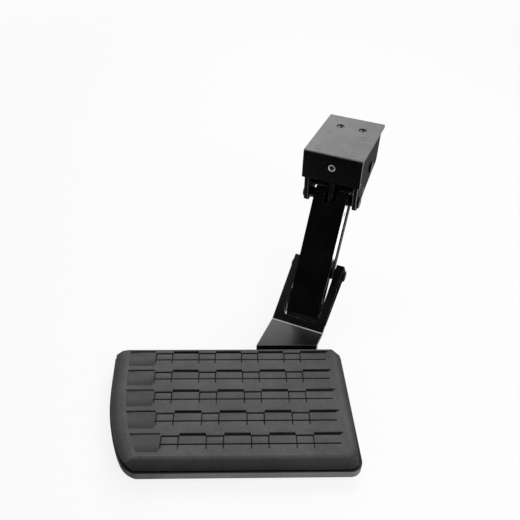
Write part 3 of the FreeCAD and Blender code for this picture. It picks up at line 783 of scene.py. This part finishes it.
ridge_run = outline(ROW_SET_IN, 0.0, 0.0, 0.0, PAD_TOP)[FRONT_SIDE + 1:]
rows = []
for number in range(ROWS):
    top = -(ROW_FIRST + number * ROW_PITCH)
    left = tile_left(CREASE[0] - top)
    right = right_edge(CREASE[0] - top, ROW_END)
    length = right - left
    x = left + POCKET_SHARE * length
    shorts = []
    for _ in range(TILE_PAIRS):
        shorts.append((x, x + SHORT_SHARE * length))
        x += PAIR_SHARE * length
    ridge = (row_left(top), row_left(top - POCKET_END))
    pocket = shorts[0][0] - LAND
    rows.append({"top": top, "ridge": ridge, "shorts": shorts, "pocket": pocket, "right": right})

ACROSS = (0.0, 1.0, 0.0)
ALONG = (1.0, 0.0, 0.0)
for row in rows:
    top = row["top"]
    low = top - POCKET_END
    high_x, low_x = row["ridge"]
    pocket = row["pocket"]
    right = row["right"]

    def in_band(middle):
        return low < middle.y < top

    def on_tiles(middle):
        return in_band(middle) and pocket < middle.x < right

    def by_ridge(middle):
        return in_band(middle) and middle.x < pocket

    def at_run_out(middle):
        return top - LONG_GROOVE < middle.y < top and right - GROOVE_TAPER < middle.x < right

    for y in (top, low):
        score((0.0, y, PAD_TOP), ACROSS, lambda middle: True)
    for x in (pocket, right - GROOVE_TAPER, right):
        score((x, 0.0, PAD_TOP), ALONG, in_band)
    beside_ridge = Vector((POCKET_END, low_x - high_x, 0.0))
    score((high_x, top, PAD_TOP), beside_ridge, by_ridge)
    drops = (CASTLE_STEP, LONG_GROOVE, CASTLE_STEP + SHORT_GROOVE, CREASE[0], CREASE[1], SLIT_END)
    for drop in drops:
        score((0.0, top - drop, PAD_TOP), ACROSS, on_tiles)
    for short in row["shorts"]:
        for station in short:
            for x in (station - SLIT_HALF, station + SLIT_HALF):
                score((x, 0.0, PAD_TOP), ALONG, on_tiles)
    slant = Vector((LONG_GROOVE, -GROOVE_TAPER, 0.0))
    score((right, top, PAD_TOP), slant, at_run_out)
print("scored faces:", len(bmesh.from_edit_mesh(tread.data).faces))

# %% [markdown]
# Now the cells sink. Creases and slits are shallow and the castle-shaped
# grooves deeper, so everything goes down by the shallow depth and the grooves
# once more. The pocket at the left of each row is a wedge: its floor starts
# shallow and its rear edge is pushed further down.

# %% Sink the grooves
SLIT_DEPTH = 0.0016
GROOVE_DEPTH = 0.0030
POCKET_DEPTH = 0.0026
POCKET_RISE = 0.0004


def row_at(y):
    """The row whose band holds this depth, or None."""
    for row in rows:
        if row["top"] - POCKET_END < y < row["top"]:
            return row
    return None


def in_groove(middle):
    """In a castle-shaped groove."""
    row = row_at(middle.y)
    if row is None or not row["pocket"] + LAND - SLIT_HALF < middle.x < row["right"]:
        return False
    drop = row["top"] - middle.y
    if any(start - SLIT_HALF < middle.x < end + SLIT_HALF for start, end in row["shorts"]):
        return CASTLE_STEP < drop < CASTLE_STEP + SHORT_GROOVE
    run_out = min(1.0, (row["right"] - middle.x) / GROOVE_TAPER)
    return drop < LONG_GROOVE * run_out


def in_slit(middle):
    """In a crease along a row or a slit across it."""
    row = row_at(middle.y)
    if row is None or not row["pocket"] < middle.x < row["right"]:
        return False
    drop = row["top"] - middle.y
    if CREASE[0] < drop < CREASE[1]:
        return middle.x < row["right"] - GROOVE_TAPER
    beside = any(abs(middle.x - station) < SLIT_HALF for short in row["shorts"] for station in short)
    return beside and LONG_GROOVE < drop < SLIT_END


def in_pocket(middle):
    """In the wedge at the left of a row."""
    row = row_at(middle.y)
    if row is None:
        return False
    high_x, low_x = row["ridge"]
    start = high_x + (low_x - high_x) * (row["top"] - middle.y) / POCKET_END
    return start < middle.x < row["pocket"]


def sink(depth):
    bpy.ops.mesh.extrude_region_move(TRANSFORM_OT_translate={"value": (0.0, 0.0, -depth)})


select_faces(tread, lambda middle, up: on_top(middle, up) and (in_groove(middle) or in_slit(middle)))
sink(SLIT_DEPTH)
select_faces(
    tread,
    lambda middle, up: up.z > LEVEL_FACING and middle.z < PAD_TOP - HAIR and in_groove(middle),
)
sink(GROOVE_DEPTH - SLIT_DEPTH)
select_faces(tread, lambda middle, up: on_top(middle, up) and in_pocket(middle))
sink(POCKET_RISE)
bpy.ops.mesh.select_mode(type="VERT")
bpy.ops.mesh.select_all(action="DESELECT")
shape = bmesh.from_edit_mesh(tread.data)
for corner in shape.verts:
    floor_level = abs(corner.co.z - PAD_TOP + POCKET_RISE) < HAIR
    if floor_level and any(abs(corner.co.y - row["top"]) < HAIR for row in rows):
        corner.select_set(True)
bmesh.update_edit_mesh(tread.data)
bpy.ops.transform.translate(value=(0.0, 0.0, POCKET_RISE - POCKET_DEPTH))
print("sunk faces:", len(bmesh.from_edit_mesh(tread.data).faces))

# %% [markdown]
# The upper half of each tile leans a little towards the groove, which is why
# the two halves shade differently. The rims are then rounded: first the tile
# edges by a hair, then the block's own ridges more.

# %% Lean the tiles and round the rims
TILE_LEAN = 0.0008
RIM_ROUND = 0.00045
RIDGE_ROUND = 0.0012
RIDGE_ANGLE = math.radians(12.0)
RIM_TOP = 0.9
RIM_WALL = 0.3
POCKET_SHADE_BAND = (0.012, 0.028)
bpy.ops.mesh.select_mode(type="VERT")
bpy.ops.mesh.select_all(action="DESELECT")
shape = bmesh.from_edit_mesh(tread.data)
for corner in shape.verts:
    for row in rows:
        drop = row["top"] - corner.co.y
        start = row["pocket"] + LAND - SLIT_HALF - HAIR
        end = row["right"] - GROOVE_TAPER + HAIR
        beside = start < corner.co.x < end
        tile_edge = LONG_GROOVE - HAIR < drop < CASTLE_STEP + SHORT_GROOVE + HAIR
        if beside and tile_edge and abs(corner.co.z - PAD_TOP) < HAIR:
            corner.select_set(True)
bmesh.update_edit_mesh(tread.data)
bpy.ops.transform.translate(value=(0.0, 0.0, -TILE_LEAN))


def is_rim(edge):
    """Between a tile's top and a sunk wall."""
    if len(edge.link_faces) != 2:
        return False
    tops = [face.normal.z > RIM_TOP for face in edge.link_faces]
    high = min(corner.co.z for corner in edge.verts) > PAD_TOP - TILE_LEAN - HAIR
    walled = min(abs(face.normal.z) for face in edge.link_faces) < RIM_WALL
    return high and tops[0] != tops[1] and walled


def is_ridge(edge):
    """Between two outer faces of the block."""
    if len(edge.link_faces) != 2:
        return False
    middle = (edge.verts[0].co + edge.verts[1].co) / 2
    row = row_at(middle.y)
    inside = row is not None and min(row["ridge"]) - HAIR < middle.x < row["right"] + HAIR
    sharp = edge.calc_face_angle(0.0) > RIDGE_ANGLE
    return sharp and not inside and middle.z > TREAD_LOW - HAIR


def pocket_shade(tap, place):
    """Share of painted shade in a pocket: it grows towards the front edge."""
    x = part_of(tap, place, 0)
    y = part_of(tap, place, 1)
    along = (x - PAD_PLACE.x) * math.sin(PAD_TURN) - (y - PAD_PLACE.y) * math.cos(PAD_TURN)
    drop = tap.maths("FRACT", (along - ROW_FIRST) * (1.0 / ROW_PITCH)) * ROW_PITCH
    return drop.ramp(*POCKET_SHADE_BAND)


# pocket floors: painted shade towards the front edge
pocket_floor = moulding("pocket_floor", 0.045, 0.075, 0.55, 0.0013, 0.00018, pocket_shade, 0.02)
for finish in (tread_rubber, ridge_highlight, groove_shade, pocket_floor):
    tread.data.materials.append(finish)
RIDGE_LIT, DARK, POCKET = 1, 2, 3
# The bevels on the ridges and tile rims take a paler finish: painted highlight.
ridges = select_edges(tread, is_ridge)
bpy.ops.mesh.bevel(offset=RIDGE_ROUND, segments=3, clamp_overlap=True, material=RIDGE_LIT)
rims = select_edges(tread, is_rim)
bpy.ops.mesh.bevel(offset=RIM_ROUND, segments=2, clamp_overlap=True, material=RIDGE_LIT)
bpy.ops.mesh.select_all(action="SELECT")
bpy.ops.mesh.normals_make_consistent(inside=False)
print("ridges:", ridges, "rims:", rims)

# %% [markdown]
# The sunk cells and the wall below the border get a near-black finish by face,
# which is painted shade; the pockets get one with painted shade that darkens
# towards their front edge. The finished tread is turned by
# the pad's angle, moved to its place and tied to the step, where it takes the
# place of the plain solid.

# %% Finish and place the tread
STEEP = 0.5
TREAD_SMOOTH = math.radians(30.0)
bpy.ops.object.mode_set(mode="OBJECT")
sunk = 0
# Painted shade: grooves, slits and the wall below the border take the near-black finish.
for face in tread.data.polygons:
    deep = face.center.z < PAD_TOP - TILE_LEAN - RIM_ROUND
    cell = deep and (in_groove(face.center) or in_slit(face.center))
    wall = face.center.z < BORDER_LOW and abs(face.normal.z) < STEEP
    if cell or wall:
        face.material_index = DARK
        sunk += 1
    elif in_pocket(face.center) and face.center.z < PAD_TOP - HAIR:
        face.material_index = POCKET
tread.matrix_world = Matrix.Translation(PAD_PLACE) @ Matrix.Rotation(PAD_TURN, 4, "Z")
bpy.ops.object.transform_apply(location=True, rotation=True, scale=True)
bpy.ops.object.shade_smooth_by_angle(angle=TREAD_SMOOTH)
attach(tread, "step")
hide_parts("tread_pad")
print("tread faces:", len(tread.data.polygons), "sunk:", sunk)

# %% [markdown]
# ## The hold spring
# An over-centre spring holds the arms at both ends of their travel. A real
# one is wound from round wire, so a small ring is swept up a screw line, and
# a loop at each end hooks on a pin. The places of the pins come from the
# frame. The same sweep with a three-cornered ring later cuts the threads.

# %% Wind a coil
ROUND_SMOOTH = math.radians(40.0)


def middle_of(node):
    low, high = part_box(node)
    return (Vector(low) + Vector(high)) / 2


def coil(name, wire, corners, radius, pitch, turns, steps):
    """Ring of that many corners, swept about Z from the origin upwards."""
    bpy.ops.object.select_all(action="DESELECT")
    bpy.ops.mesh.primitive_circle_add(
        vertices=corners,
        radius=wire,
        location=(radius, 0.0, 0.0),
        rotation=(UPRIGHT, 0.0, 0.0),
    )
    piece = bpy.context.object
    piece.name = name
    bpy.ops.object.transform_apply(location=True, rotation=True, scale=True)
    sweep = piece.modifiers.new("sweep", "SCREW")
    sweep.axis = "Z"
    sweep.screw_offset = pitch
    sweep.iterations = turns
    sweep.steps = steps
    sweep.render_steps = steps
    bpy.ops.object.modifier_apply(modifier="sweep")
    bpy.ops.object.mode_set(mode="EDIT")
    bpy.ops.mesh.select_all(action="SELECT")
    bpy.ops.mesh.fill_holes(sides=corners)
    bpy.ops.object.mode_set(mode="OBJECT")
    return piece


def place_piece(piece, place, tilt):
    """Tilt a finished piece about X, move it and leave its object at the origin."""
    bpy.ops.object.select_all(action="DESELECT")
    piece.select_set(True)
    bpy.context.view_layer.objects.active = piece
    piece.matrix_world = Matrix.Translation(place) @ Matrix.Rotation(tilt, 4, "X")
    bpy.ops.object.transform_apply(location=True, rotation=True, scale=True)


def tidy_normals(piece):
    """Turn every face outwards and shade the round ones smooth."""
    bpy.ops.object.mode_set(mode="EDIT")
    bpy.ops.mesh.select_all(action="SELECT")
    bpy.ops.mesh.normals_make_consistent(inside=False)
    bpy.ops.object.mode_set(mode="OBJECT")
    bpy.ops.object.shade_smooth_by_angle(angle=ROUND_SMOOTH)


WIRE = 0.001
WIRE_CORNERS = 10
COIL_R = 0.0035
COIL_STEPS = 18
COIL_START = 0.00505
COIL_TURNS = 17
anchor = middle_of("spring_anchor_pin")
foot = middle_of("spring_arm_pin")
reach = foot - anchor
coil_foot = anchor + reach.normalized() * COIL_START
coil_length = reach.length - 2 * COIL_START
coil_pitch = coil_length / COIL_TURNS
spring = coil("wound_hold_spring", WIRE, WIRE_CORNERS, COIL_R, coil_pitch, COIL_TURNS, COIL_STEPS)
place_piece(spring, coil_foot, math.atan2(-reach.y, reach.z))
tidy_normals(spring)
spring.data.materials.append(spring_steel)
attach(spring, "spring")
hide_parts("hold_spring")
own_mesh(spring)

# %% [markdown]
# Each loop is a ring of the same wire around its pin. When the step folds away
# the pins come closer and the coil shortens, but the loops keep their shape.
# So they are pieces of their own: one stays with the spring's fixed end, and
# one goes with the arm's pin, around which it is round anyway.

# %% Hook the loops
LOOP_R = 0.00515
LOOP_STEPS = 32


def wire_loop(name, place, body):
    """A ring of the spring's wire around a pin."""
    bpy.ops.object.select_all(action="DESELECT")
    bpy.ops.mesh.primitive_torus_add(
        location=place,
        rotation=(0.0, UPRIGHT, 0.0),
        major_radius=LOOP_R,
        minor_radius=WIRE,
        major_segments=LOOP_STEPS,
        minor_segments=WIRE_CORNERS,
    )
    bpy.ops.object.transform_apply(location=True, rotation=True, scale=True)
    loop = bpy.context.object
    loop.name = name
    tidy_normals(loop)
    loop.data.materials.append(spring_steel)
    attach(loop, body)


wire_loop("spring_loop_fixed", anchor, "spring")
wire_loop("spring_loop_moving", foot, "front_arm")
print("loops hooked:", round(reach.length, 4))

# %% [markdown]
# ## Threads
# The welded nuts are tapped. A thread is a ridge that winds up the bore: the
# coil again, with a triangle for wire. Its crests glint inside the dark holes.

# %% Tap the nuts
HOOD_TOP = cad_box[1][2]
HOOD_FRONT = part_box("mount_hood")[0][1]
THREAD_TURNS = 8
THREAD_STEPS = 32
TOP_BORE = 0.005
TOP_PITCH = 0.0015
TOP_SPREAD = 0.0175
TOP_SUNK = 0.0138
FRONT_BORE = 0.004
FRONT_PITCH = 0.00125
FRONT_SUNK = 0.0115


def tap_nut(name, bore, pitch, place, tilt):
    """Thread ridge that starts at a place and winds up the bore."""
    thread = coil(name, 0.5 * pitch, 3, bore, pitch, THREAD_TURNS, THREAD_STEPS)
    place_piece(thread, place, tilt)
    tidy_normals(thread)
    thread.data.materials.append(thread_steel)
    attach(thread, "mount")


front_nut = middle_of("front_weld_nut")
for side in (-1.0, 1.0):
    name = "top_thread_left" if side < 0 else "top_thread_right"
    place = Vector((side * TOP_SPREAD, 0.0, HOOD_TOP - TOP_SUNK))
    tap_nut(name, TOP_BORE, TOP_PITCH, place, 0.0)
place = Vector((0.0, HOOD_FRONT + FRONT_SUNK, front_nut.z))
tap_nut("front_thread", FRONT_BORE, FRONT_PITCH, place, UPRIGHT)
print("threads in three nuts")

# %% [markdown]
# ## Welds
# The side plates are welded to the hood and the pivot lugs to the web. A weld
# is a row of overlapping drops, so one drop is modelled and an Array lays the
# row. Each seam is laid on the right and again on the left.

# %% Lay the weld beads
DROP_R = 0.0019
DROP_STEP = 0.0017


def bead(name, start, end, body):
    """Row of weld drops between two points, painted with the part."""
    bpy.ops.object.select_all(action="DESELECT")
    bpy.ops.mesh.primitive_uv_sphere_add(segments=12, ring_count=8, radius=DROP_R, location=start)
    row = bpy.context.object
    row.name = name
    bpy.ops.object.transform_apply(location=True, rotation=True, scale=True)
    line = Vector(end) - Vector(start)
    count = int(line.length / DROP_STEP) + 1
    lay = row.modifiers.new("lay", "ARRAY")
    lay.use_relative_offset = False
    lay.use_constant_offset = True
    lay.constant_offset_displace = line / (count - 1)
    lay.count = count
    bpy.ops.object.modifier_apply(modifier="lay")
    bpy.ops.object.shade_smooth()
    row.data.materials.append(black_coat)
    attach(row, body)


plate_low, plate_high = [Vector(corner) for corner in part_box("right_side_plate")]
lug_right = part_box("right_pivot_lug")[1][0]
WELD_END = 0.006
WEB_TOP = Vector((0.0, -0.107129, -0.182313))
WEB_SLOPE = math.radians(33.0)
WEB_DOWN = Vector((0.0, -math.cos(WEB_SLOPE), -math.sin(WEB_SLOPE)))
WEB_INWARD = Vector((0.0, math.sin(WEB_SLOPE), -math.cos(WEB_SLOPE)))
PLATE = 0.006
LUG_SPAN = (0.055, 0.100)
for side, label in ((1.0, "right"), (-1.0, "left")):
    x = side * plate_high.x
    seam = [(x, y, plate_high.z) for y in (plate_low.y + WELD_END, plate_high.y - WELD_END)]
    bead("hood_weld_" + label, seam[0], seam[1], "mount")
    across = Vector((side * lug_right, 0.0, 0.0))
    seam = [WEB_TOP + WEB_DOWN * along + WEB_INWARD * PLATE + across for along in LUG_SPAN]
    bead("lug_weld_" + label, seam[0], seam[1], "step")
print("four weld seams")

# %% [markdown]
# The bracket is folded from one plate, and a fold has a radius. A slice of a
# cylinder, tangent to both faces, lies in the valley, and a thin wall behind
# it makes it a closed piece. It takes the pale edge coat, a painted highlight,
# so the fold shows as a bright line.

# %% Round the fold
FOLD_R = 0.0035
FOLD_WALL = 0.0004
WEB_LENGTH = 0.1105
FOLD_WIDTH = 0.0816
FACETS = 180
web_normal = -WEB_INWARD
fold_line = WEB_TOP + WEB_DOWN * WEB_LENGTH
flat_normal = Vector((0.0, 0.0, 1.0))
fold_axis = fold_line + (web_normal + flat_normal) * (FOLD_R / (1.0 + web_normal.dot(flat_normal)))
bpy.ops.object.select_all(action="DESELECT")
bpy.ops.mesh.primitive_cylinder_add(
    vertices=FACETS,
    radius=FOLD_R,
    depth=FOLD_WIDTH,
    end_fill_type="NOTHING",
    location=fold_axis,
    rotation=(0.0, UPRIGHT, 0.0),
)
fold = bpy.context.object
fold.name = "bracket_fold"
bpy.ops.object.transform_apply(location=True, rotation=True, scale=True)
bpy.ops.object.mode_set(mode="EDIT")
for cut_normal in (Vector((0.0, -1.0, 0.0)), -WEB_DOWN, flat_normal):
    bpy.ops.mesh.select_all(action="SELECT")
    bpy.ops.mesh.bisect(plane_co=fold_axis, plane_no=cut_normal, clear_outer=True, threshold=SAW_GRIP)
bpy.ops.mesh.select_all(action="SELECT")
bpy.ops.mesh.normals_make_consistent(inside=True)
bpy.ops.object.mode_set(mode="OBJECT")
thicken = fold.modifiers.new("wall", "SOLIDIFY")
thicken.thickness = FOLD_WALL
bpy.ops.object.modifier_apply(modifier="wall")
bpy.ops.object.shade_smooth_by_angle(angle=ROUND_SMOOTH)
# pale edge coat: a painted highlight along the fold
fold.data.materials.append(edge_highlight_coat)
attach(fold, "step")
print("fold faces:", len(fold.data.polygons))
